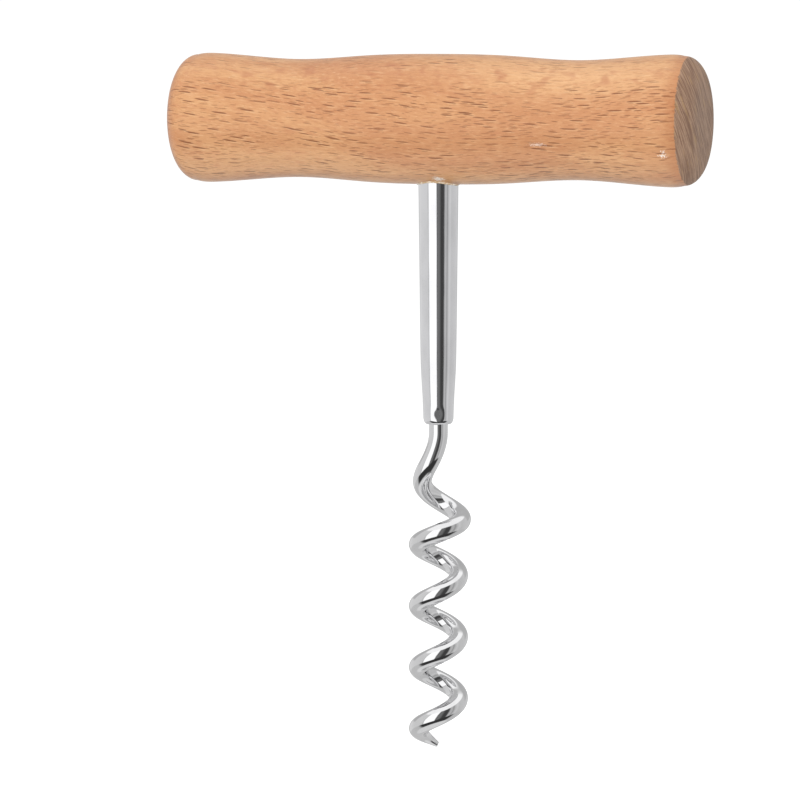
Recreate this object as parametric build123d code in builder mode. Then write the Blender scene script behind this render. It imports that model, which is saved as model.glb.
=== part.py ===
from build123d import *
from math import cos, pi, radians, sin
import os

# Straight-pull corkscrew: a turned beech handle across a chromed tube shank, with a steel wire worm
# gripped in the swaged lower end of the tube. Nothing on it moves.
#
# Frame, in millimetres: the origin is where the shank's axis crosses the handle's axis, +X runs along
# the handle, +Z up the shank, and the worm points down. The handle is symmetric about the origin.

# --- driving dimensions -------------------------------------------------------------------------

# handle, turned about X; the places are distances from the middle
handle_length = 99.8
middle_radius = 11.9
slope_radius = 11.6  # half-way from the middle to the waist
waist_radius = 10.86
waist_place = 26.7
swell_radius = 11.94
swell_place = 43.0
rim_radius = 11.68  # where the side turns over into the rounded end
rim_slope = -0.28
end_round_length = 3.7  # rounding of the end, measured along the handle
end_round_depth = 5.5  # and measured towards the handle's axis

# shank tube, turned about Z; heights are on the Z axis
tube_top = 6.5
tube_top_radius = 3.67
tube_wall = 1.0
cone_bottom = -41.0  # a slow taper down to here, then a quicker one into the neck
cone_bottom_radius = 3.32
shoulder = -47.2
shoulder_radius = 3.13
neck_top = -51.6
neck_radius = 2.87
neck_bottom = -54.7
neck_bottom_radius = 2.77
neck_slope = -0.02
tube_bottom = -55.9
lip_radius = 2.1  # flat lip left round the wire by the rounded end
tube_top_chamfer = 0.3
key_groove_radius = 0.35  # two rolled grooves that key the hidden end into the adhesive
key_groove_heights = (-3.0, 2.0)

# worm, one piece of wire; angles are measured about Z from +X, seen from above
wire_radius = 1.75
head_radius = 2.45
head_top = 3.0
head_height = 2.5
head_chamfer = 0.4
bend_top = -57.5
helix_radius = 3.72
helix_pitch = 11.4
helix_top = -78.2
helix_start_angle = 196.5
helix_turns = 3
point_turns = 0.26  # below the full turns, the wire is ground to a point over this part of a turn
point_sections = 7
point_radius = 0.5  # the blunt end of the point
point_fullness = 1.3  # 1 is a straight cone, and more keeps the wire full for longer
point_lowness = 0.6  # 0 leaves the point in the wire's middle, and 1 brings it to the wire's underside

# blind hole for the tube, and the adhesive that fills the gap
glue_gap = 0.15
hole_top = tube_top + 0.6
hole_bottom = -middle_radius - 2  # outside the handle, so that the hole opens through its surface
bead_width = 0.5  # the adhesive pressed out round the hole's mouth
bead_height = 0.35
bead_depth = 2 * bead_height  # it reaches this far above the handle's lowest line, to follow its curve


# --- handle -------------------------------------------------------------------------------------


def handle_half_outline(oversize=0.0):
    """Half of the handle's outline in the XZ plane, from the middle to one end's flat face."""
    half = handle_length / 2
    side = Spline(
        (0, middle_radius + oversize),
        (waist_place / 2, slope_radius + oversize),
        (waist_place, waist_radius + oversize),
        (swell_place, swell_radius + oversize),
        (half - end_round_length, rim_radius + oversize),
        tangents=((1, 0), (1, rim_slope)),
        tangent_scalars=(1, 1),
    )
    end = EllipticalCenterArc(
        center=(half - end_round_length, rim_radius - end_round_depth),
        x_radius=end_round_length,
        y_radius=end_round_depth + oversize,
        start_angle=0,
        arc_size=90,
    )
    face = Line((half, rim_radius - end_round_depth), (half, 0))
    return side, end, face


with BuildPart() as hole:
    with BuildSketch(Plane.XY.offset(hole_bottom)):
        Circle(tube_top_radius + glue_gap)
    extrude(amount=hole_top - hole_bottom)

with BuildPart() as handle:
    with BuildSketch(Plane.XZ):
        with BuildLine():
            handle_half_outline()
            mirror(about=Plane.YZ)
            Line((-handle_length / 2, 0), (handle_length / 2, 0))
        make_face()
    revolve(axis=Axis.X)
    add(hole.part, mode=Mode.SUBTRACT)

# --- shank tube -----------------------------------------------------------------------------------

with BuildPart() as shank_tube:
    with BuildSketch(Plane.XZ):
        with BuildLine():
            # outside, from the top down to the lip
            Line((tube_top_radius - tube_wall, tube_top), (tube_top_radius, tube_top))
            Line((tube_top_radius, tube_top), (tube_top_radius, -middle_radius))
            cone = Line((tube_top_radius, -middle_radius), (cone_bottom_radius, cone_bottom))
            Spline(
                (cone_bottom_radius, cone_bottom),
                (shoulder_radius, shoulder),
                (neck_radius, neck_top),
                (neck_bottom_radius, neck_bottom),
                tangents=(cone % 1, (neck_slope, -1)),
                tangent_scalars=(1, 1),
            )
            EllipticalCenterArc(
                center=(lip_radius, neck_bottom),
                x_radius=neck_bottom_radius - lip_radius,
                y_radius=neck_bottom - tube_bottom,
                start_angle=-90,
                arc_size=90,
            )
            Line((lip_radius, tube_bottom), (wire_radius, tube_bottom))
            # inside, back up along the wire and the tapered bore
            Line((wire_radius, tube_bottom), (wire_radius, neck_top))
            Line((wire_radius, neck_top), (cone_bottom_radius - tube_wall, cone_bottom))
            Line((cone_bottom_radius - tube_wall, cone_bottom), (tube_top_radius - tube_wall, -middle_radius))
            Line((tube_top_radius - tube_wall, -middle_radius), (tube_top_radius - tube_wall, tube_top))
        make_face()
    revolve(axis=Axis.Z)
    chamfer(shank_tube.edges().filter_by(GeomType.CIRCLE).group_by(Axis.Z)[-1], tube_top_chamfer)
    with BuildSketch(Plane.XZ):
        with Locations(*[(tube_top_radius, height) for height in key_groove_heights]):
            Circle(key_groove_radius)
    revolve(axis=Axis.Z, mode=Mode.SUBTRACT)

# --- worm -----------------------------------------------------------------------------------------


def around(angle, radius, height):
    """A point at an angle in degrees and a radius about the Z axis."""
    return Vector(radius * cos(radians(angle)), radius * sin(radians(angle)), height)


def before_helix(angle, radius, height):
    """A point of the S-bend, with that angle still to turn before the helix starts."""
    return around(helix_start_angle + angle, radius, height)


def on_helix(turns):
    """A point on the helix's centreline, that many turns below its top."""
    return around(helix_start_angle - 360 * turns, helix_radius, helix_top - helix_pitch * turns)


def along_helix(turns):
    """The direction of the wire there, going down."""
    tangent = around(helix_start_angle - 360 * turns - 90, 2 * pi * helix_radius, -helix_pitch)
    return tangent.normalized()


def under_helix(turns):
    """The direction from the wire's centre to its underside there."""
    outward = around(helix_start_angle - 360 * turns, 1, 0)
    return outward.cross(along_helix(turns))


# from the axis the wire swings out, round the back in one wide half turn, and in to the helix
bend_points = [
    Vector(0, 0, bend_top),
    before_helix(370, 1.45, -62.6),
    before_helix(352, 2.4, -64.5),
    before_helix(327, 3.5, -67.1),
    before_helix(267, 4.0, -70.6),
    before_helix(207, 4.15, -72.7),
    before_helix(152, 4.35, -74.0),
    before_helix(100, 4.2, -75.35),
    before_helix(50, 3.8, -76.8),
    on_helix(0),
]
coil_bottom = (0, 0, helix_top - helix_pitch * helix_turns)
coil = Helix(helix_pitch, helix_pitch * helix_turns, helix_radius, center=coil_bottom)
coil = Rot(Z=helix_start_angle - 360 * helix_turns) * coil

with BuildPart() as worm:
    # upset head and straight shank
    with BuildSketch(Plane.XY.offset(head_top)):
        Circle(head_radius)
    extrude(amount=-head_height)
    chamfer(worm.edges(), head_chamfer)
    with BuildSketch(Plane.XY.offset(head_top - head_height)):
        Circle(wire_radius)
    extrude(amount=bend_top - head_top + head_height)
    # S-bend
    with BuildLine() as bend:
        Spline(*bend_points, tangents=((0, 0, -1), along_helix(0)), tangent_scalars=(1, 1))
    with BuildSketch(Plane.XY.offset(bend_top)):
        Circle(wire_radius)
    sweep(path=bend.line)
    # full turns
    with BuildSketch(Plane(coil @ 0, z_dir=coil % 0)):
        Circle(wire_radius)
    sweep(path=coil, is_frenet=True)
    # point, ground mostly from above so that it runs out low in the wire
    for n in range(point_sections):
        share = n / (point_sections - 1)
        turns = helix_turns + share * point_turns
        radius = wire_radius + (point_radius - wire_radius) * share**point_fullness
        centre = on_helix(turns) + under_helix(turns) * point_lowness * (wire_radius - radius)
        with BuildSketch(Plane(centre, z_dir=along_helix(turns))):
            Circle(radius)
    loft()

# --- adhesive -------------------------------------------------------------------------------------

with BuildPart() as bead_limit:
    with BuildSketch(Plane.XZ):
        with BuildLine():
            handle_half_outline(oversize=bead_height)
            mirror(about=Plane.YZ)
            Line((-handle_length / 2, 0), (handle_length / 2, 0))
        make_face()
    revolve(axis=Axis.X)

with BuildPart() as adhesive:
    with BuildSketch(Plane.XY.offset(tube_top)):
        Circle(tube_top_radius + glue_gap)
        Circle(tube_top_radius - key_groove_radius, mode=Mode.SUBTRACT)
    extrude(amount=-tube_top - middle_radius)
    with BuildSketch(Plane.XY.offset(-middle_radius - bead_height)):
        Circle(tube_top_radius + bead_width)
        Circle(tube_top_radius - key_groove_radius, mode=Mode.SUBTRACT)
    extrude(amount=bead_height + bead_depth)
    add(bead_limit.part, mode=Mode.INTERSECT)
    add(handle.part, mode=Mode.SUBTRACT)
    add(shank_tube.part, mode=Mode.SUBTRACT)

# --- the finished pieces --------------------------------------------------------------------------

os.makedirs("parts", exist_ok=True)
handle.part.label = "handle"
shank_tube.part.label = "shank_tube"
worm.part.label = "worm"
adhesive.part.label = "adhesive"
export_step(handle.part, "parts/handle.step")
export_step(shank_tube.part, "parts/shank_tube.step")
export_step(worm.part, "parts/worm.step")
export_step(adhesive.part, "parts/adhesive.step")
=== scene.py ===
from math import cos, degrees, pi, radians, sin, sqrt

import bmesh
import bpy
import numpy as np
from mathutils import Matrix, Vector, noise


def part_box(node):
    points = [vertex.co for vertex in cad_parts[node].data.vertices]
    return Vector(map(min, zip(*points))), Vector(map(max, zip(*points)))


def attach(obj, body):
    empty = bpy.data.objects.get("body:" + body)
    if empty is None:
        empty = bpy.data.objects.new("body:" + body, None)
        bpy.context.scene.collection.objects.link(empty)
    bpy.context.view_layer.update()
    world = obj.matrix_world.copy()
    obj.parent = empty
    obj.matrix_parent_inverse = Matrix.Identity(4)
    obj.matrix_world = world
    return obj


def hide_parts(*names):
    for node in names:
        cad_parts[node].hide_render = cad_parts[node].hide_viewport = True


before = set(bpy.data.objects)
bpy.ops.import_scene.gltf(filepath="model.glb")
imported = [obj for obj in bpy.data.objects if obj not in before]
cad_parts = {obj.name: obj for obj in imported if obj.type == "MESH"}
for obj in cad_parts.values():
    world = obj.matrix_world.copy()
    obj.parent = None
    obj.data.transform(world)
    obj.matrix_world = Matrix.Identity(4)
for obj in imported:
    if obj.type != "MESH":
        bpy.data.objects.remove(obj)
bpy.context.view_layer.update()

# Straight-pull corkscrew: turned beech handle, chromed tube shank, bright steel wire worm.
# The frame is the CAD's: +X along the handle, +Z up the shank, and the origin where the two cross.
# Dimensions and meshes are in millimetres until finish_mesh scales them, and all else is in metres.

MM = 0.001

# --- driving dimensions, in millimetres -----------------------------------------------------------
# They follow the CAD, except that the handle's swell stays just inside it, the bead of adhesive is
# uneven, and the tube has a dent.

HANDLE_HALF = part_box("handle")[1].x / MM
TUBE_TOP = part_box("shank_tube")[1].z / MM
TUBE_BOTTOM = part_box("shank_tube")[0].z / MM
HEAD_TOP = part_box("worm")[1].z / MM

# handle; the places are distances from its middle
MIDDLE_RADIUS = 11.9
SLOPE_PLACE = 13.35
SLOPE_RADIUS = 11.6
WAIST_PLACE = 26.7
WAIST_RADIUS = 10.86
SWELL_PLACE = 43.0
SWELL_RADIUS = 11.92
RIM_RADIUS = 11.68
RIM_SLOPE = -0.28
END_ROUND_LENGTH = 3.7
END_ROUND_DEPTH = 5.5

# shank tube; the heights are on the Z axis
TUBE_TOP_RADIUS = 3.67
TUBE_TOP_CHAMFER = 0.3
TUBE_WALL = 1.0
CONE_BOTTOM = -41.0
CONE_BOTTOM_RADIUS = 3.32
SHOULDER = -47.2
SHOULDER_RADIUS = 3.13
NECK_TOP = -51.6
NECK_RADIUS = 2.87
NECK_BOTTOM = -54.7
NECK_BOTTOM_RADIUS = 2.77
NECK_SLOPE = -0.02
LIP_RADIUS = 2.1

# the dent that stakes the tube to the wire; angles are in degrees about Z from +X
STAKE_ANGLE = -75
STAKE_HALF_WIDTH = 30
STAKE_HEIGHT = -53.9
STAKE_HALF_HEIGHT = 1.7
STAKE_DEPTH = 0.20

# worm
WIRE_RADIUS = 1.75
HEAD_RADIUS = 2.45
HEAD_HEIGHT = 2.5
HEAD_CHAMFER = 0.4
BEND_TOP = -57.5
HELIX_RADIUS = 3.72
HELIX_PITCH = 11.4
HELIX_TOP = -78.2
HELIX_START = 196.5
HELIX_TURNS = 3
POINT_TURNS = 0.26
POINT_RADIUS = 0.5
POINT_FULLNESS = 1.3
POINT_LOWNESS = 0.6

# blind hole, and the adhesive in it and round its mouth
GLUE_GAP = 0.15
HOLE_TOP = TUBE_TOP + 0.6
HOLE_RADIUS = TUBE_TOP_RADIUS + GLUE_GAP
BEAD_WIDTH = 0.12  # at its narrowest, past the hole's edge
BEAD_EXTRA_WIDTH = 0.22  # where it is widest
BEAD_HEIGHT = 0.12  # at its thinnest, where it meets the tube
BEAD_EXTRA_HEIGHT = 0.20  # where it is thickest


# --- curves and meshes ----------------------------------------------------------------------------


def smooth_curve(points, start, end, samples):
    """Places along the cubic spline through points, with unit speed `start` and `end` at its ends."""
    points = np.array(points, float)
    step = np.linalg.norm(np.diff(points, axis=0), axis=1)
    count = len(points)
    system = np.eye(count)
    right = np.zeros_like(points)
    right[0] = start
    right[-1] = end
    for i in range(1, count - 1):
        before, after = 1 / step[i - 1], 1 / step[i]
        system[i, i - 1 : i + 2] = before, 2 * (before + after), after
        rise = before**2 * (points[i] - points[i - 1]) + after**2 * (points[i + 1] - points[i])
        right[i] = 3 * rise
    speed = np.linalg.solve(system, right)
    knots = np.concatenate(([0], np.cumsum(step)))
    places = []
    for length in np.linspace(0, knots[-1], samples):
        i = min(np.searchsorted(knots, length, side="right") - 1, count - 2)
        u = (length - knots[i]) / step[i]
        places.append(
            (1 + 2 * u) * (1 - u) ** 2 * points[i]
            + u * (1 - u) ** 2 * step[i] * speed[i]
            + u**2 * (3 - 2 * u) * points[i + 1]
            + u**2 * (u - 1) * step[i] * speed[i + 1]
        )
    return [tuple(place) for place in places]


def rounding(centre, wide, high, start, end, steps):
    """Points of an elliptical arc in the (along, radius) plane, angles in degrees."""
    angles = [radians(start + (end - start) * i / steps) for i in range(steps + 1)]
    return [(centre[0] + wide * cos(a), centre[1] + high * sin(a)) for a in angles]


def straight(start, end, steps):
    """Evenly spaced points of a straight line, without its two ends."""
    return [tuple(s + (e - s) * i / steps for s, e in zip(start, end)) for i in range(1, steps)]


def plain_object(name, mesh):
    """An object with the bmesh as it stands, in the scene but riding on nothing."""
    data = bpy.data.meshes.new(name)
    mesh.to_mesh(data)
    made = bpy.data.objects.new(name, data)
    bpy.context.scene.collection.objects.link(made)
    return made


def finish_mesh(name, mesh, crease=32):
    """Makes the object from a bmesh in millimetres, smooth but for edges over `crease` degrees."""
    bmesh.ops.recalc_face_normals(mesh, faces=mesh.faces)
    bmesh.ops.scale(mesh, vec=(MM, MM, MM), verts=mesh.verts)
    for face in mesh.faces:
        face.smooth = True
    for edge in mesh.edges:
        edge.smooth = edge.calc_face_angle(0) < radians(crease)
    piece = plain_object(name, mesh)
    mesh.free()
    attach(piece, "root")
    return piece


def turned_rings(mesh, outline, around, spot):
    """A ring of vertices for each (place, radius) of an outline; `spot` gives each vertex's point."""
    rings = []
    for place, radius in outline:
        angles = [2 * pi * i / around for i in range(around)]
        rings.append([mesh.verts.new(spot(place, radius, angle)) for angle in angles])
    return rings


def join_rings(mesh, rings, around):
    """Quads between neighbouring rings of vertices, each ring with `around` vertices."""
    for low, high in zip(rings, rings[1:]):
        for i in range(around):
            j = (i + 1) % around
            mesh.faces.new((low[i], low[j], high[j], high[i]))


def cap(mesh, ring, middle):
    """Closes a ring with triangles to a vertex in its middle."""
    tip = mesh.verts.new(middle)
    for one, two in zip(ring, ring[1:] + ring[:1]):
        mesh.faces.new((one, two, tip))


# --- handle ---------------------------------------------------------------------------------------

HANDLE_AROUND = 144
HANDLE_SIDE_STEPS = 96
END_ROUND_STEPS = 20
END_FACE_RINGS = (4.8, 3.2, 1.6)
DRILL_AROUND = 96
DRILL_SPARE = 2
DRILL_TURN = radians(1.1)  # so that none of its edges ends on an edge of the handle
SAME_PLACE = 0.003  # vertices nearer than this are merged after the cut


def handle_side():
    """Half of the handle's side as (place, radius), from the middle to where the end rounds over."""
    points = [
        (0, MIDDLE_RADIUS),
        (SLOPE_PLACE, SLOPE_RADIUS),
        (WAIST_PLACE, WAIST_RADIUS),
        (SWELL_PLACE, SWELL_RADIUS),
        (HANDLE_HALF - END_ROUND_LENGTH, RIM_RADIUS),
    ]
    return smooth_curve(points, (1, 0), (1, RIM_SLOPE), HANDLE_SIDE_STEPS)


def about_x(place, radius, angle):
    """A point on the circle of that radius round the handle's axis."""
    return place, radius * cos(angle), radius * sin(angle)


def make_handle():
    """The turned side, rounded ends and flat end faces, with the blind hole drilled in."""
    end_centre = (HANDLE_HALF - END_ROUND_LENGTH, RIM_RADIUS - END_ROUND_DEPTH)
    end = rounding(end_centre, END_ROUND_LENGTH, END_ROUND_DEPTH, 90, 0, END_ROUND_STEPS)
    face = [(HANDLE_HALF, radius) for radius in END_FACE_RINGS]
    half = handle_side()[:-1] + end + face
    outline = [(-place, radius) for place, radius in reversed(half[1:])] + half
    mesh = bmesh.new()
    rings = turned_rings(mesh, outline, HANDLE_AROUND, about_x)
    join_rings(mesh, rings, HANDLE_AROUND)
    cap(mesh, rings[0], (-HANDLE_HALF, 0, 0))
    cap(mesh, rings[-1], (HANDLE_HALF, 0, 0))
    drill_hole(mesh)
    piece = finish_mesh("turned_handle", mesh)
    piece.visible_glossy = False  # keeps the wood's orange out of the chrome
    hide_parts("handle")
    return piece


def make_drill():
    """A cylinder that fills the blind hole and sticks out below the handle."""
    drill = bmesh.new()
    depth = HOLE_TOP + MIDDLE_RADIUS + DRILL_SPARE
    bmesh.ops.create_cone(
        drill,
        cap_ends=True,
        segments=DRILL_AROUND,
        depth=depth,
        radius1=HOLE_RADIUS,
        radius2=HOLE_RADIUS,
    )
    bmesh.ops.translate(drill, vec=(0, 0, HOLE_TOP - depth / 2), verts=drill.verts)
    bmesh.ops.rotate(drill, matrix=Matrix.Rotation(DRILL_TURN, 3, "Z"), verts=drill.verts)
    return drill


def drill_hole(mesh):
    """Cuts the blind hole for the tube out of the handle's underside."""
    drill = make_drill()
    bmesh.ops.recalc_face_normals(mesh, faces=mesh.faces)
    work = plain_object("undrilled", mesh)
    tool = plain_object("drill", drill)
    drill.free()
    cut = work.modifiers.new("hole", "BOOLEAN")
    cut.operation = "DIFFERENCE"
    cut.solver = "EXACT"
    cut.object = tool
    bpy.context.view_layer.update()
    result = work.evaluated_get(bpy.context.evaluated_depsgraph_get()).to_mesh()
    mesh.clear()
    mesh.from_mesh(result)
    bmesh.ops.remove_doubles(mesh, verts=mesh.verts, dist=SAME_PLACE)
    for thing in (work, tool):
        bpy.data.objects.remove(thing)


# --- shank tube -----------------------------------------------------------------------------------

TUBE_AROUND = 120
STRAIGHT_STEPS = 24
CONE_STEPS = 48
NECK_STEPS = 48
LIP_STEPS = 16


def stake(angle, height):
    """Depth of the shallow dent in the tube's closed end, where it was staked to the wire."""
    across = ((degrees(angle) - STAKE_ANGLE + 180) % 360 - 180) / STAKE_HALF_WIDTH
    along = (height - STAKE_HEIGHT) / STAKE_HALF_HEIGHT
    return STAKE_DEPTH * max(0, 1 - across**2) ** 2 * max(0, 1 - along**2) ** 2


def about_z_staked(height, radius, angle):
    """A point of the tube; the dent is in its outside alone."""
    out = radius - stake(angle, height) if radius > LIP_RADIUS else radius
    return out * cos(angle), out * sin(angle), height


def tube_outside():
    """The tube's outside as (height, radius), from its top down to the flat lip round the wire."""
    cone_top = (-MIDDLE_RADIUS, TUBE_TOP_RADIUS)
    cone_bottom = (CONE_BOTTOM, CONE_BOTTOM_RADIUS)
    cone_slope = (CONE_BOTTOM_RADIUS - TUBE_TOP_RADIUS) / (CONE_BOTTOM + MIDDLE_RADIUS)
    swaged = [
        cone_bottom,
        (SHOULDER, SHOULDER_RADIUS),
        (NECK_TOP, NECK_RADIUS),
        (NECK_BOTTOM, NECK_BOTTOM_RADIUS),
    ]
    lip_centre = (NECK_BOTTOM, LIP_RADIUS)
    lip_high = NECK_BOTTOM - TUBE_BOTTOM
    lip_wide = NECK_BOTTOM_RADIUS - LIP_RADIUS
    outside = [
        (TUBE_TOP, TUBE_TOP_RADIUS - TUBE_WALL + TUBE_TOP_CHAMFER),
        (TUBE_TOP, TUBE_TOP_RADIUS - TUBE_TOP_CHAMFER),
        (TUBE_TOP - TUBE_TOP_CHAMFER, TUBE_TOP_RADIUS),
    ]
    outside += straight(outside[-1], cone_top, STRAIGHT_STEPS) + [cone_top]
    outside += straight(cone_top, cone_bottom, CONE_STEPS)
    outside += smooth_curve(swaged, (-1, -cone_slope), (-1, NECK_SLOPE), NECK_STEPS)
    outside += rounding(lip_centre, lip_high, lip_wide, 90, 180, LIP_STEPS)[1:]
    return outside


def tube_bore():
    """The tube's inside, from the lip up along the wire and the tapered bore."""
    return [
        (TUBE_BOTTOM, WIRE_RADIUS),
        (NECK_TOP, WIRE_RADIUS),
        (CONE_BOTTOM, CONE_BOTTOM_RADIUS - TUBE_WALL),
        (-MIDDLE_RADIUS, TUBE_TOP_RADIUS - TUBE_WALL),
        (TUBE_TOP - TUBE_TOP_CHAMFER, TUBE_TOP_RADIUS - TUBE_WALL),
    ]


def make_tube():
    """The outside and the bore as one closed outline, turned about Z."""
    mesh = bmesh.new()
    rings = turned_rings(mesh, tube_outside() + tube_bore(), TUBE_AROUND, about_z_staked)
    join_rings(mesh, rings + rings[:1], TUBE_AROUND)
    piece = finish_mesh("swaged_tube", mesh)
    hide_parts("shank_tube")
    return piece


# --- worm -----------------------------------------------------------------------------------------

WIRE_AROUND = 40
SHANK_RINGS = 20
BEND_RINGS = 110
RINGS_PER_TURN = 96
POINT_RINGS = 26


def around(angle, radius, height):
    """A point at an angle in degrees and a radius about the Z axis."""
    return Vector((radius * cos(radians(angle)), radius * sin(radians(angle)), height))


def on_helix(turns):
    """A point on the helix's centreline, that many turns below its top."""
    return around(HELIX_START - 360 * turns, HELIX_RADIUS, HELIX_TOP - HELIX_PITCH * turns)


def along_helix(turns):
    """The direction of the wire there, going down."""
    return around(HELIX_START - 360 * turns - 90, 2 * pi * HELIX_RADIUS, -HELIX_PITCH).normalized()


def under_helix(turns):
    """The direction from the wire's centre to its underside there."""
    return around(HELIX_START - 360 * turns, 1, 0).cross(along_helix(turns))


def s_bend():
    """The wire's centreline from the shank's axis round the back and in to the helix."""
    # degrees still to turn before the helix starts, radius and height
    bend_points = [
        (370, 1.45, -62.6),
        (352, 2.4, -64.5),
        (327, 3.5, -67.1),
        (267, 4.0, -70.6),
        (207, 4.15, -72.7),
        (152, 4.35, -74.0),
        (100, 4.2, -75.35),
        (50, 3.8, -76.8),
    ]
    points = [Vector((0, 0, BEND_TOP))]
    points += [around(HELIX_START + angle, radius, height) for angle, radius, height in bend_points]
    points.append(on_helix(0))
    return [Vector(p) for p in smooth_curve(points, (0, 0, -1), along_helix(0), BEND_RINGS)]


def wire_stations():
    """(centre, direction, radius) of every ring of the worm, from its head to its point."""
    down = Vector((0, 0, -1))
    head_bottom = HEAD_TOP - HEAD_HEIGHT
    head = (
        (HEAD_TOP, HEAD_RADIUS - HEAD_CHAMFER),
        (HEAD_TOP - HEAD_CHAMFER, HEAD_RADIUS),
        (head_bottom + HEAD_CHAMFER, HEAD_RADIUS),
        (head_bottom, HEAD_RADIUS - HEAD_CHAMFER),
        (head_bottom, WIRE_RADIUS),
    )
    stations = [(Vector((0, 0, height)), down, radius) for height, radius in head]
    bend = s_bend()
    for i in range(1, SHANK_RINGS):
        height = head_bottom + (BEND_TOP - head_bottom) * i / SHANK_RINGS
        stations.append((Vector((0, 0, height)), down, WIRE_RADIUS))
    stations.append((bend[0], down, WIRE_RADIUS))
    for before, centre, after in zip(bend, bend[1:], bend[2:]):
        stations.append((centre, (after - before).normalized(), WIRE_RADIUS))
    for i in range(HELIX_TURNS * RINGS_PER_TURN):
        turns = i / RINGS_PER_TURN
        stations.append((on_helix(turns), along_helix(turns), WIRE_RADIUS))
    for i in range(POINT_RINGS + 1):
        share = i / POINT_RINGS
        turns = HELIX_TURNS + share * POINT_TURNS
        radius = WIRE_RADIUS + (POINT_RADIUS - WIRE_RADIUS) * share**POINT_FULLNESS
        centre = on_helix(turns) + under_helix(turns) * POINT_LOWNESS * (WIRE_RADIUS - radius)
        stations.append((centre, along_helix(turns), radius))
    return stations


def make_worm():
    """Rings of vertices carried along the wire, each turned no more than the wire's bend needs."""
    mesh = bmesh.new()
    rings = []
    side = Vector((1, 0, 0))
    stations = wire_stations()
    for centre, direction, radius in stations:
        side = (side - direction * side.dot(direction)).normalized()
        other = direction.cross(side)
        ring = []
        for i in range(WIRE_AROUND):
            angle = 2 * pi * i / WIRE_AROUND
            ring.append(mesh.verts.new(centre + radius * (side * cos(angle) + other * sin(angle))))
        rings.append(ring)
    join_rings(mesh, rings, WIRE_AROUND)
    cap(mesh, rings[0], stations[0][0])
    cap(mesh, rings[-1], stations[-1][0])
    piece = finish_mesh("wire_worm", mesh)
    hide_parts("worm")
    return piece


# --- adhesive -------------------------------------------------------------------------------------

GLUE_AROUND = 120
BEAD_STEPS = 5
LUMP_SCALE = 3.1  # more gives more and smaller lumps round the bead


def underside(side, radius, unit):
    """Height of the handle's underside at a radius from the shank's axis, towards `unit`."""
    x, y = radius * unit.x, radius * unit.y
    places = [place for place, turned in side]
    radii = [turned for place, turned in side]
    return -sqrt(float(np.interp(abs(x), places, radii)) ** 2 - y**2)


def adhesive_column(side, unit):
    """The adhesive's outline in the plane through the shank's axis, as (radius, height)."""
    lump = 0.5 + 0.5 * noise.noise(unit * LUMP_SCALE)
    width = GLUE_GAP + BEAD_WIDTH + BEAD_EXTRA_WIDTH * lump
    rise = BEAD_HEIGHT + BEAD_EXTRA_HEIGHT * lump
    toe = TUBE_TOP_RADIUS + width
    column = [
        (TUBE_TOP_RADIUS, TUBE_TOP),
        (HOLE_RADIUS, TUBE_TOP),
        (HOLE_RADIUS, underside(side, HOLE_RADIUS, unit)),
    ]
    for step in range(BEAD_STEPS + 1):
        share = step / BEAD_STEPS
        radius = toe + (TUBE_TOP_RADIUS - toe) * share
        column.append((radius, underside(side, radius, unit) - rise * sin(share * pi / 2)))
    return column


def make_adhesive():
    """A sleeve between tube and hole, with the uneven bead that was pressed out at the mouth."""
    mesh = bmesh.new()
    side = handle_side()
    columns = []
    for i in range(GLUE_AROUND):
        angle = 2 * pi * i / GLUE_AROUND
        unit = Vector((cos(angle), sin(angle), 0))
        column = adhesive_column(side, unit)
        columns.append([mesh.verts.new((r * unit.x, r * unit.y, height)) for r, height in column])
    join_rings(mesh, columns + columns[:1], len(columns[0]))
    piece = finish_mesh("glue_bead", mesh, crease=50)
    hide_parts("adhesive")
    return piece


# --- material building blocks ---------------------------------------------------------------------


def colour(red, green, blue):
    """A colour as seen on screen, 0 to 255, as the renderer's linear colour."""
    linear = [((c / 255 + 0.055) / 1.055) ** 2.4 for c in (red, green, blue)]
    return (*linear, 1)


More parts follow.
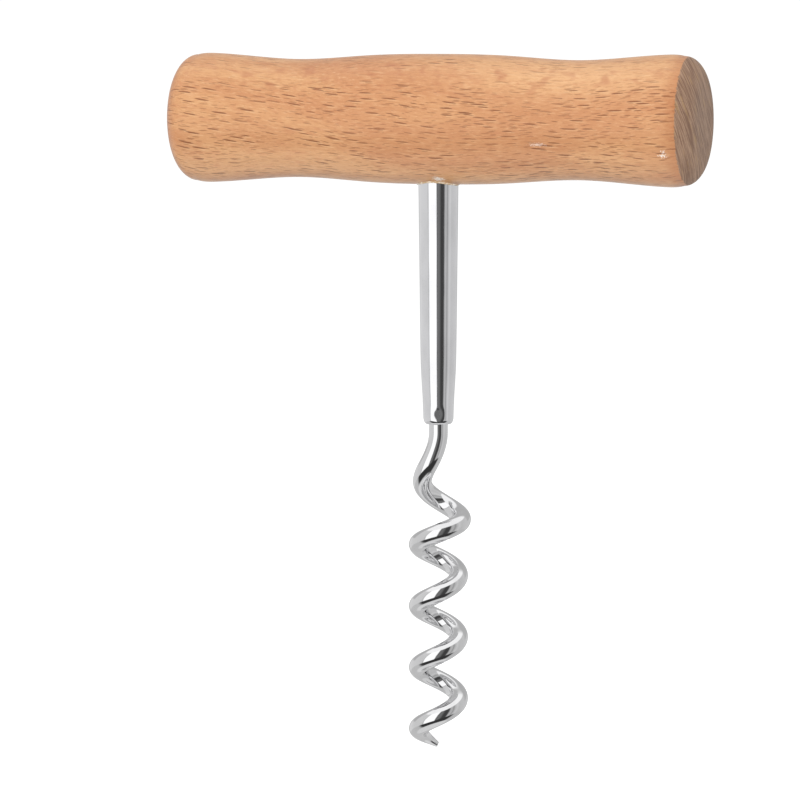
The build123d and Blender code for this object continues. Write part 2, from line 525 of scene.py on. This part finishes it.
class Tree:
    """A node tree with short calls for the nodes used here; inputs are numbers, colours or sockets."""

    def __init__(self, tree):
        self.tree = tree
        tree.nodes.clear()

    def node(self, kind, inputs=(), **settings):
        """A new node, with its inputs set or linked by name or number."""
        made = self.tree.nodes.new(kind)
        for name, value in settings.items():
            setattr(made, name, value)
        for socket, value in dict(inputs).items():
            if isinstance(value, bpy.types.NodeSocket):
                self.tree.links.new(value, made.inputs[socket])
            else:
                made.inputs[socket].default_value = value
        return made

    def math(self, operation, one, two=0.0, three=0.0):
        inputs = {0: one, 1: two, 2: three}
        return self.node("ShaderNodeMath", inputs, operation=operation).outputs[0]

    def between(self, value, low, high, to_low=0.0, to_high=1.0):
        """Maps low..high smoothly to to_low..to_high, and holds outside it."""
        inputs = {
            "Value": value,
            "From Min": low,
            "From Max": high,
            "To Min": to_low,
            "To Max": to_high,
        }
        made = self.node("ShaderNodeMapRange", inputs, interpolation_type="SMOOTHSTEP")
        return made.outputs["Result"]

    def product(self, first, *others):
        """All the values multiplied together."""
        for other in others:
            first = self.math("MULTIPLY", first, other)
        return first

    def split(self, vector):
        return self.node("ShaderNodeSeparateXYZ", {0: vector}).outputs

    def join(self, x, y, z=0.0):
        return self.node("ShaderNodeCombineXYZ", {0: x, 1: y, 2: z}).outputs[0]

    def mix(self, factor, one, two):
        """Colour one where the factor is 0, two where it is 1."""
        inputs = {0: factor, 6: one, 7: two}
        return self.node("ShaderNodeMix", inputs, data_type="RGBA").outputs[2]

    def blend(self, factor, one, two):
        """Number one where the factor is 0, two where it is 1."""
        return self.node("ShaderNodeMix", {0: factor, 2: one, 3: two}, data_type="FLOAT").outputs[0]

    def stretch(self, vector, x, y, z, offset=(0, 0, 0)):
        """Coordinates in which one unit is x, y and z metres."""
        inputs = {"Vector": vector, "Scale": (1 / x, 1 / y, 1 / z), "Location": offset}
        return self.node("ShaderNodeMapping", inputs).outputs[0]

    def noise(self, vector, detail=3.0, roughness=0.55):
        inputs = {"Vector": vector, "Scale": 1.0, "Detail": detail, "Roughness": roughness}
        return self.node("ShaderNodeTexNoise", inputs).outputs["Fac"]

    def bump(self, height, strength, distance, under=None):
        inputs = {"Height": height, "Strength": strength, "Distance": distance}
        if under:
            inputs["Normal"] = under
        return self.node("ShaderNodeBump", inputs).outputs[0]

    def surface(self, inputs):
        shader = self.node("ShaderNodeBsdfPrincipled", inputs)
        self.node("ShaderNodeOutputMaterial", {"Surface": shader.outputs[0]})


def material(name, piece):
    """Gives the piece a new material, and returns its empty tree."""
    made = bpy.data.materials.new(name)
    made.use_nodes = True
    piece.data.materials.clear()
    piece.data.materials.append(made)
    return Tree(made.node_tree)


# --- beech ----------------------------------------------------------------------------------------

RAY_ANGLE = radians(44)  # the rays run through the handle this far above +Y, seen along X
RAYS_TO_Z = (pi / 2 - RAY_ANGLE, 0, 0)
FIBRES_LEVEL_AT = 0.022  # X
FIBRE_BOW = 1.05  # rise of the fibres, per metre squared along the handle from there
FIBRE_SWAY = 0.0022
RING_SPACING = 0.0032
RING_WANDER = 3.2  # in ring spacings
RIGHT_GRAIN_START = 0.0469  # where the side's colour gives way to end grain
LEFT_GRAIN_START = 0.0494
GRAIN_START_RAGGED = 0.0006
END_LEAN = 2.2

# marks of the cut rays: size of a cell along and round the handle, longest half length in cells, share
# of the cells left empty, and how far the rows are staggered
DASHES = ((0.0044, 0.00052), 0.34, 0.45, 3.7)
TICKS = ((0.0026, 0.00030), 0.36, 0.35, -2.9)
TICKS_OFFSET = (5, 3, 0)  # gives the ticks a pattern of their own
# the edge highlight is painted light: a pale edge beside each dash, where its groove would catch light
# from above
EDGE_HIGHLIGHT_OFFSET = (0.06, 0.55, 0)  # puts a pale edge beside each dash

BEECH = colour(211, 147, 98)
LIGHT_BEECH = colour(225, 168, 115)
LATE_WOOD = colour(199, 131, 84)
PALE_STRETCH = colour(242, 192, 140)
DARK_FIBRE = colour(180, 116, 74)
LIGHT_FIBRE = colour(244, 200, 152)
MOTTLE = colour(208, 140, 96)
# colour of the painted highlight beside each dash
PAINTED_EDGE_HIGHLIGHT = colour(246, 202, 152)
TICK = colour(160, 96, 52)
DASH = colour(144, 82, 40)
BLOTCH = colour(190, 118, 78)
RIM = colour(190, 120, 72)
END_DARK = colour(131, 99, 78)
END_LIGHT = colour(176, 143, 118)
END_GOLD = colour(180, 144, 98)
# white of the painted glints, and of the glue specks by the shank
GLUE_AND_GLINT_WHITE = colour(255, 246, 236)


def wood_coordinates(tree):
    """Object coordinates, two kinds that follow the timber, and the object's x, y and z.

    The first kind has X along the fibres, Y along the rings and Z along the rays. The second lies on
    the surface: X along the fibres, Y round the handle in metres, its seam on a face where no ray is
    cut across.
    """
    place = tree.node("ShaderNodeTexCoord").outputs["Object"]
    x, y, z = tree.split(place)
    # the fibres dip towards the middle from the left end, and run nearly level to the right
    from_level = tree.math("SUBTRACT", FIBRES_LEVEL_AT, x)
    bow = tree.product(from_level, from_level, FIBRE_BOW)
    sway = tree.noise(tree.stretch(place, 0.022, 0.012, 0.012), detail=1.0)
    level = tree.math("MULTIPLY_ADD", sway, FIBRE_SWAY, tree.math("SUBTRACT", z, bow))
    bent = tree.join(x, y, level)
    timber = tree.node("ShaderNodeMapping", {"Vector": bent, "Rotation": RAYS_TO_Z}).outputs[0]
    # the angle round the handle is measured from the rings' direction
    up_ray = tree.math("MULTIPLY_ADD", z, sin(RAY_ANGLE), tree.math("MULTIPLY", y, cos(RAY_ANGLE)))
    across = tree.math("MULTIPLY_ADD", z, cos(RAY_ANGLE), tree.math("MULTIPLY", y, -sin(RAY_ANGLE)))
    turn = tree.math("MULTIPLY", tree.math("ARCTAN2", up_ray, across), MIDDLE_RADIUS * MM)
    turn = tree.math("MULTIPLY_ADD", sway, FIBRE_SWAY, tree.math("SUBTRACT", turn, bow))
    return place, timber, tree.join(x, turn), (x, y, z)


def flecks(tree, wrapped, cell, reach, share, slip, offset=(0, 0, 0)):
    """Short spindle-shaped marks on the surface, in cells of x by y metres, `share` of them left empty.

    `reach` is the longest mark's half length, in cells, and `slip` staggers the rows.
    """
    x, y = tree.split(wrapped)[:2]
    slipped = tree.join(tree.math("MULTIPLY_ADD", y, slip, x), y)
    coordinates = tree.stretch(slipped, *cell, 1.0, offset=offset)
    inputs = {"Vector": coordinates, "Scale": 1.0, "Randomness": 1.0}
    cells = tree.node("ShaderNodeTexVoronoi", inputs, voronoi_dimensions="2D")
    chance = tree.node("ShaderNodeSeparateColor", {0: cells.outputs["Color"]}).outputs[0]
    own_reach = tree.between(chance, share, 1.0, 0.01, reach)
    ratio = tree.math("DIVIDE", cells.outputs["Distance"], own_reach)
    return tree.between(ratio, 0.65, 1.05, 1.0, 0.0)


def closeness(tree, place, centre, reach):
    """1 at a point, falling to 0 at `reach` metres along each axis."""
    inputs = {0: place, 1: centre}
    offset = tree.node("ShaderNodeVectorMath", inputs, operation="SUBTRACT").outputs[0]
    scaled = tree.stretch(offset, *reach)
    distance = tree.node("ShaderNodeVectorMath", {0: scaled}, operation="LENGTH").outputs["Value"]
    return tree.between(distance, 0.0, 1.0, 1.0, 0.0)


def speckle(tree, place, centre, reach, grain):
    """A patch of small bright specks about a point, fading out at `reach` metres."""
    near = tree.math("MULTIPLY_ADD", closeness(tree, place, centre, reach), 1.15, -0.2)
    specks = tree.noise(tree.stretch(place, grain, grain, grain), detail=2.0)
    crowd = tree.math("MULTIPLY_ADD", tree.math("SUBTRACT", specks, 0.5), 2.4, near)
    return tree.between(crowd, 0.35, 0.90)


def timber_colour(tree, place, timber):
    """A slow drift of colour, growth rings, and one pale stretch right of the shank."""
    drift = tree.noise(tree.stretch(timber, 0.050, 0.010, 0.010), detail=2.0)
    base = tree.mix(tree.between(drift, 0.36, 0.62), BEECH, LIGHT_BEECH)
    wander = tree.noise(tree.stretch(timber, 0.060, 0.012, 0.012, (3, 1, 7)), detail=2.0)
    depth = tree.math("MULTIPLY", tree.split(timber)[2], 1 / RING_SPACING)
    ring = tree.math("FRACT", tree.math("MULTIPLY_ADD", wander, RING_WANDER, depth))
    late = tree.between(tree.math("PINGPONG", ring, 0.5), 0.28, 0.5)
    base = tree.mix(tree.product(late, 0.28), base, LATE_WOOD)
    pale = closeness(tree, place, (0.028, -0.0080, 0.0075), (0.036, 0.010, 0.0065))
    return tree.mix(tree.product(pale, 0.55), base, PALE_STRETCH)


def add_fibres(tree, base, timber):
    """Adds fine dark and light streaks and a soft mottle; returns the streaks' noise as well."""
    fibre = tree.noise(tree.stretch(timber, 0.0019, 0.00018, 0.0003), detail=4.0, roughness=0.75)
    base = tree.mix(tree.between(fibre, 0.50, 0.72, 0.0, 0.55), base, DARK_FIBRE)
    base = tree.mix(tree.between(fibre, 0.50, 0.28, 0.0, 0.50), base, LIGHT_FIBRE)
    mottle = tree.noise(tree.stretch(timber, 0.0024, 0.0008, 0.0008), detail=3.0, roughness=0.7)
    return tree.mix(tree.between(mottle, 0.52, 0.66, 0.0, 0.40), base, MOTTLE), fibre


def along_rays(tree):
    """1 where the surface looks along the rays, falling to 0 where it looks across them."""
    normal = tree.node("ShaderNodeTexCoord").outputs["Normal"]
    inputs = {0: normal, 1: (0, cos(RAY_ANGLE), sin(RAY_ANGLE))}
    facing = tree.node("ShaderNodeVectorMath", inputs, operation="DOT_PRODUCT").outputs["Value"]
    return tree.math("ABSOLUTE", facing)


def add_rays(tree, base, timber, wrapped):
    """Adds the cut rays: dark dashes on the faces that look along them, soft blotches on the others.

    Returns the dashes and the smaller ticks as well.
    """
    facing = along_rays(tree)
    cloud = tree.noise(tree.stretch(timber, 0.018, 0.004, 0.006, (9, 2, 4)))
    patchy = tree.between(cloud, 0.34, 0.58, 0.50, 1.0)
    tangential = tree.between(facing, 0.02, 0.30, 0.25, 1.0)
    dashes = tree.product(flecks(tree, wrapped, *DASHES), patchy, tangential)
    ticks = tree.product(flecks(tree, wrapped, *TICKS, TICKS_OFFSET), patchy, tangential)
    # painted highlight: a pale edge beside each dash, where its groove would catch light from above
    edge_highlights = tree.product(flecks(tree, wrapped, *DASHES, EDGE_HIGHLIGHT_OFFSET), patchy)
    base = tree.mix(tree.product(edge_highlights, 0.30), base, PAINTED_EDGE_HIGHLIGHT)
    base = tree.mix(tree.product(ticks, 0.60), base, TICK)
    base = tree.mix(tree.product(dashes, 0.90), base, DASH)
    blotch = tree.noise(tree.stretch(timber, 0.0030, 0.0016, 0.0024, (2, 6, 1)), detail=1.0)
    radial = tree.between(facing, 0.55, 0.10)
    blotches = tree.product(tree.between(blotch, 0.54, 0.74, 0.0, 0.50), radial)
    return tree.mix(blotches, base, BLOTCH), dashes, ticks


def past_grain_start(tree, place, x):
    """Metres past the ragged line where the side gives way to end grain, at either end."""
    ragged = tree.noise(tree.stretch(place, 0.0005, 0.0005, 0.0005), detail=2.0)
    beyond_left = tree.math("MULTIPLY_ADD", x, -1.0, -LEFT_GRAIN_START)
    beyond = tree.math("MAXIMUM", tree.math("SUBTRACT", x, RIGHT_GRAIN_START), beyond_left)
    return tree.math("MULTIPLY_ADD", tree.math("SUBTRACT", ragged, 0.5), GRAIN_START_RAGGED, beyond)


def end_grain(tree, x, y, z):
    """Colour of the end grain, and the noise that its streaks follow.

    The rings lean along the handle, so they show as nearly straight lines over the rounded end.
    """
    leaned = tree.join(x, tree.math("MULTIPLY_ADD", x, END_LEAN, y), z)
    plain = tree.node("ShaderNodeMapping", {"Vector": leaned, "Rotation": RAYS_TO_Z}).outputs[0]
    fine = tree.stretch(plain, 0.02, 0.0055, 0.00030, (1, 1, 1))
    streak = tree.noise(fine, detail=3.0, roughness=0.6)
    base = tree.mix(tree.between(streak, 0.36, 0.64), END_DARK, END_LIGHT)
    gold = tree.noise(tree.stretch(plain, 0.02, 0.006, 0.0009, (4, 4, 4)), detail=2.0)
    return tree.mix(tree.between(gold, 0.58, 0.72, 0.0, 0.5), base, END_GOLD), streak


def glue_specks_and_painted_glints(tree, place):
    """Painted highlights as bright specks: glints of a small lamp near the right end, faint ones
    between, and by the shank a painted highlight that partly stands for pressed-out glue.
    """
    by_shank = (0.0016, -0.0052, -0.0108), (0.0024, 0.0024, 0.0018), 0.00032
    by_end = (0.0447, -0.0101, -0.0056), (0.0015, 0.0015, 0.0015), 0.00034
    between = (0.0216, -0.0104, -0.0042), (0.0034, 0.0012, 0.0008), 0.00024
    bright = tree.math("MAXIMUM", speckle(tree, place, *by_shank), speckle(tree, place, *by_end))
    return tree.math("MAXIMUM", bright, tree.product(speckle(tree, place, *between), 0.5))


def paint_beech(piece):
    """Beech under lacquer: the side's timber, and darker end grain past a ragged line."""
    tree = material("lacquered_beech", piece)
    place, timber, wrapped, axes = wood_coordinates(tree)
    base = timber_colour(tree, place, timber)
    base, fibre = add_fibres(tree, base, timber)
    base, dashes, ticks = add_rays(tree, base, timber, wrapped)

    # deeper orange where the side meets the end, then the end grain itself
    past = past_grain_start(tree, place, axes[0])
    base = tree.mix(tree.between(past, -0.0028, 0.0, 0.0, 0.55), base, RIM)
    is_end = tree.between(past, 0.0, 0.00025)
    end_colour, streak = end_grain(tree, *axes)
    base = tree.mix(is_end, base, end_colour)
    # painted highlights: white specks for lamp glints in the lacquer, by the shank partly for
    # pressed-out glue
    base = tree.mix(tree.product(glue_specks_and_painted_glints(tree, place), 0.85), base, GLUE_AND_GLINT_WHITE)

    pores = tree.math("ADD", dashes, tree.product(ticks, 0.5))
    side_height = tree.math("MULTIPLY_ADD", pores, -1.0, tree.product(fibre, 0.35))
    height = tree.math("ADD", side_height, tree.product(streak, is_end))
    lacquer = tree.noise(tree.stretch(place, 0.0030, 0.0012, 0.0012))
    side_rough = tree.between(fibre, 0.3, 0.7, 0.42, 0.52)
    tree.surface({
        "Base Color": base,
        "Roughness": tree.math("MULTIPLY_ADD", is_end, 0.22, side_rough),
        "Normal": tree.bump(height, 0.6, 0.00016),
        "IOR": 1.45,
        "Coat Weight": tree.math("MULTIPLY_ADD", is_end, -0.40, 0.55),
        "Coat Roughness": 0.28,
        "Coat Normal": tree.bump(lacquer, 0.10, 0.0002),
    })


# --- metal and adhesive ---------------------------------------------------------------------------

CHROME = colour(236, 236, 238)
WIRE = colour(232, 232, 233)
FILM_SHADE = 0.93
DARK_GLUE = colour(214, 178, 132)
PALE_GLUE = colour(250, 240, 222)


def paint_metal(piece, name, tint, waviness, drawn):
    """Bright metal with faint upright lines, a slow waviness and a thin film in places.

    `drawn` is the lines' width and length in metres.
    """
    tree = material(name, piece)
    place = tree.node("ShaderNodeTexCoord").outputs["Object"]
    width, length = drawn
    lines = tree.noise(tree.stretch(place, width, width, length), detail=3.0)
    wave = tree.noise(tree.stretch(place, 0.0016, 0.0016, 0.0050, (2, 5, 3)), detail=1.0)
    film = tree.noise(tree.stretch(place, 0.004, 0.004, 0.007, (7, 1, 2)), detail=3.0)
    dull_tint = (*(c * FILM_SHADE for c in tint[:3]), 1)
    waved = tree.bump(wave, waviness, 0.0002)
    tree.surface({
        "Base Color": tree.mix(tree.between(film, 0.4, 0.7), tint, dull_tint),
        "Metallic": 1.0,
        "Roughness": tree.between(film, 0.3, 0.7, 0.045, 0.10),
        "Normal": tree.bump(lines, 0.12, 0.00002, waved),
    })


def paint_adhesive(piece):
    """Cloudy glue, cream to light brown, with a glossy skin."""
    tree = material("cured_adhesive", piece)
    place = tree.node("ShaderNodeTexCoord").outputs["Object"]
    cloud = tree.noise(tree.stretch(place, 0.0007, 0.0007, 0.0007), detail=3.0)
    tree.surface({
        "Base Color": tree.mix(tree.between(cloud, 0.4, 0.65), DARK_GLUE, PALE_GLUE),
        "Roughness": tree.between(cloud, 0.35, 0.65, 0.12, 0.3),
        "Normal": tree.bump(cloud, 0.4, 0.0002),
        "Coat Weight": 0.6,
        "Coat Roughness": 0.08,
    })


# --- camera, floor and light ----------------------------------------------------------------------

VIEW_AZIMUTH = radians(16.5)
VIEW_ELEVATION = radians(5.0)
VIEW_DISTANCE = 0.85
VIEW_TARGET = Vector((0, 0, -0.0515))
FOCAL_LENGTH = 208.3  # millimetres, as is the sensor's width
SENSOR_WIDTH = 36
SIDE_SHIFT = -0.048  # in picture widths


def make_camera():
    """A long lens, from a little right of the front and a little above."""
    data = bpy.data.cameras.new("camera")
    data.lens = FOCAL_LENGTH
    data.sensor_width = SENSOR_WIDTH
    data.shift_x = SIDE_SHIFT
    data.clip_end = 50
    camera = bpy.data.objects.new("camera", data)
    flat = cos(VIEW_ELEVATION)
    back = Vector((sin(VIEW_AZIMUTH) * flat, -cos(VIEW_AZIMUTH) * flat, sin(VIEW_ELEVATION)))
    camera.location = VIEW_TARGET + back * VIEW_DISTANCE
    camera.rotation_euler = (pi / 2 - VIEW_ELEVATION, 0, VIEW_AZIMUTH)
    bpy.context.scene.collection.objects.link(camera)
    bpy.context.scene.camera = camera


FLOOR_HEIGHT = -1.2
FLOOR_HALF_WIDTH = 12
FLOOR_COLOUR = colour(246, 246, 246)


def make_floor():
    """A wide pale floor well below the object, which hangs free as in a catalogue picture."""
    mesh = bmesh.new()
    bmesh.ops.create_grid(mesh, x_segments=8, y_segments=8, size=FLOOR_HALF_WIDTH)
    floor = plain_object("floor", mesh)
    mesh.free()
    floor.location.z = FLOOR_HEIGHT
    # it neither shows in the metal nor throws light up at the wood
    floor.visible_glossy = False
    floor.visible_diffuse = False
    material("pale_floor", floor).surface({
        "Base Color": FLOOR_COLOUR,
        "Roughness": 0.9,
        "Emission Color": (1, 1, 1, 1),
        "Emission Strength": 0.35,
    })


# what the polished metal mirrors round the horizon: degrees to the camera's right, and brightness
HORIZON = [
    (-180, 0.80),
    (-164, 0.80),
    (-160, 0.56),
    (-152, 0.56),
    (-148, 0.78),
    (-120, 0.74),
    (-66, 0.71),
    (-61, 0.48),
    (-57, 1.25),
    (-13, 1.25),
    (-9, 0.14),
    (2, 0.19),
    (12, 0.11),
    (16, 0.055),
    (33, 0.065),
    (39, 0.52),
    (48, 0.55),
    (54, 0.34),
    (61, 0.58),
    (72, 0.72),
    (84, 0.62),
    (130, 0.66),
    (146, 0.70),
    (151, 0.50),
    (165, 0.50),
    (171, 0.80),
    (180, 0.80),
]

# what it mirrors above and below: the direction's z where each part begins and where it is whole
CEILING = (0.64, 0.72)
TABLE_EDGE = (-0.42, -0.48)
GROUND = (-0.80, -0.88)
CANOPY = (0.10, 0.20)
CANOPY_BEHIND = (-0.35, -0.55)  # 1 is straight to the front, towards the camera, and -1 to the back
CEILING_LIGHT = 1.1
TABLE_EDGE_LIGHT = (0.60, 0.04)  # at the sides and back, and in front
GROUND_LIGHT = 0.78
CANOPY_LIGHT = 0.52

SOFT_LIGHT = (0.86, 0.74)  # on the wood, from 30 degrees below level and from straight above
SOFT_LIGHT_BELOW = 1.5  # on the wood, from straight below
BACKDROP_LIGHT = 1.05  # what the camera sees behind the object


def horizon_light(tree, x, y):
    """Brightness of the studio's walls, which the horizon table gives for each bearing."""
    bearing = tree.math("ARCTAN2", x, tree.math("MULTIPLY", y, -1.0))
    turned = tree.math("DIVIDE", tree.math("SUBTRACT", bearing, VIEW_AZIMUTH - pi), 2 * pi)
    ramp = tree.node("ShaderNodeValToRGB", {0: tree.math("FRACT", turned)})
    stops = ramp.color_ramp.elements
    stops.remove(stops[1])
    for angle, light in HORIZON[1:]:
        stops.new((angle + 180) / 360)
    # the stops hold half of the light, which keeps them between 0 and 1, and it is doubled after them
    for stop, (angle, light) in zip(stops, HORIZON):
        stop.color = (light / 2, light / 2, light / 2, 1)
    half = tree.node("ShaderNodeSeparateColor", {0: ramp.outputs[0]}).outputs[0]
    return tree.math("MULTIPLY", half, 2.0)


def mirrored_light(tree, x, y, z):
    """The studio in the metal: walls, ceiling, a table with a dark front edge, and a canopy behind."""
    to_camera = tree.math("MULTIPLY", y, -cos(VIEW_AZIMUTH))
    to_camera = tree.math("MULTIPLY_ADD", x, sin(VIEW_AZIMUTH), to_camera)
    table_edge = tree.between(to_camera, 0.05, 0.35, *TABLE_EDGE_LIGHT)
    canopy = tree.product(tree.between(to_camera, *CANOPY_BEHIND), tree.between(z, *CANOPY))
    light = tree.blend(tree.between(z, *CEILING), horizon_light(tree, x, y), CEILING_LIGHT)
    light = tree.blend(tree.between(z, *TABLE_EDGE), light, table_edge)
    light = tree.blend(tree.between(z, *GROUND), light, GROUND_LIGHT)
    return tree.blend(canopy, light, CANOPY_LIGHT)


def make_studio():
    """White for the camera, soft light for the wood, and soft boxes with a dark flag for the metal."""
    world = bpy.data.worlds.new("studio")
    bpy.context.scene.world = world
    world.use_nodes = True
    tree = Tree(world.node_tree)
    x, y, z = tree.split(tree.node("ShaderNodeTexCoord").outputs["Generated"])
    mirrored = mirrored_light(tree, x, y, z)
    above = tree.between(z, -0.5, 1.0, *SOFT_LIGHT)
    soft = tree.blend(tree.between(z, -0.5, -0.95), above, SOFT_LIGHT_BELOW)
    rays = tree.node("ShaderNodeLightPath").outputs
    strength = tree.blend(rays["Is Glossy Ray"], soft, mirrored)
    strength = tree.blend(rays["Is Camera Ray"], strength, BACKDROP_LIGHT)
    background = tree.node("ShaderNodeBackground", {"Color": (1, 1, 1, 1), "Strength": strength})
    tree.node("ShaderNodeOutputWorld", {"Surface": background.outputs[0]})


KEY_STRENGTH = 1.08
KEY_SPREAD = radians(18)
KEY_TILT = radians(48)  # from straight down
KEY_TURN = radians(22)  # to the camera's left


def make_key_light():
    """A broad light from above the camera's left, which the metal doesn't mirror."""
    data = bpy.data.lights.new("key_light", "SUN")
    data.energy = KEY_STRENGTH
    data.angle = KEY_SPREAD
    light = bpy.data.objects.new("key_light", data)
    light.rotation_euler = (KEY_TILT, 0, VIEW_AZIMUTH - KEY_TURN)
    light.visible_glossy = False
    bpy.context.scene.collection.objects.link(light)


# --- the picture ----------------------------------------------------------------------------------

make_camera()
make_floor()
make_studio()
make_key_light()
bpy.context.scene.view_settings.view_transform = "Standard"

paint_beech(make_handle())
paint_metal(make_tube(), "chromed_tube", CHROME, waviness=0.06, drawn=(0.00015, 0.030))
paint_metal(make_worm(), "bright_wire", WIRE, waviness=0.05, drawn=(0.0004, 0.0040))
paint_adhesive(make_adhesive())
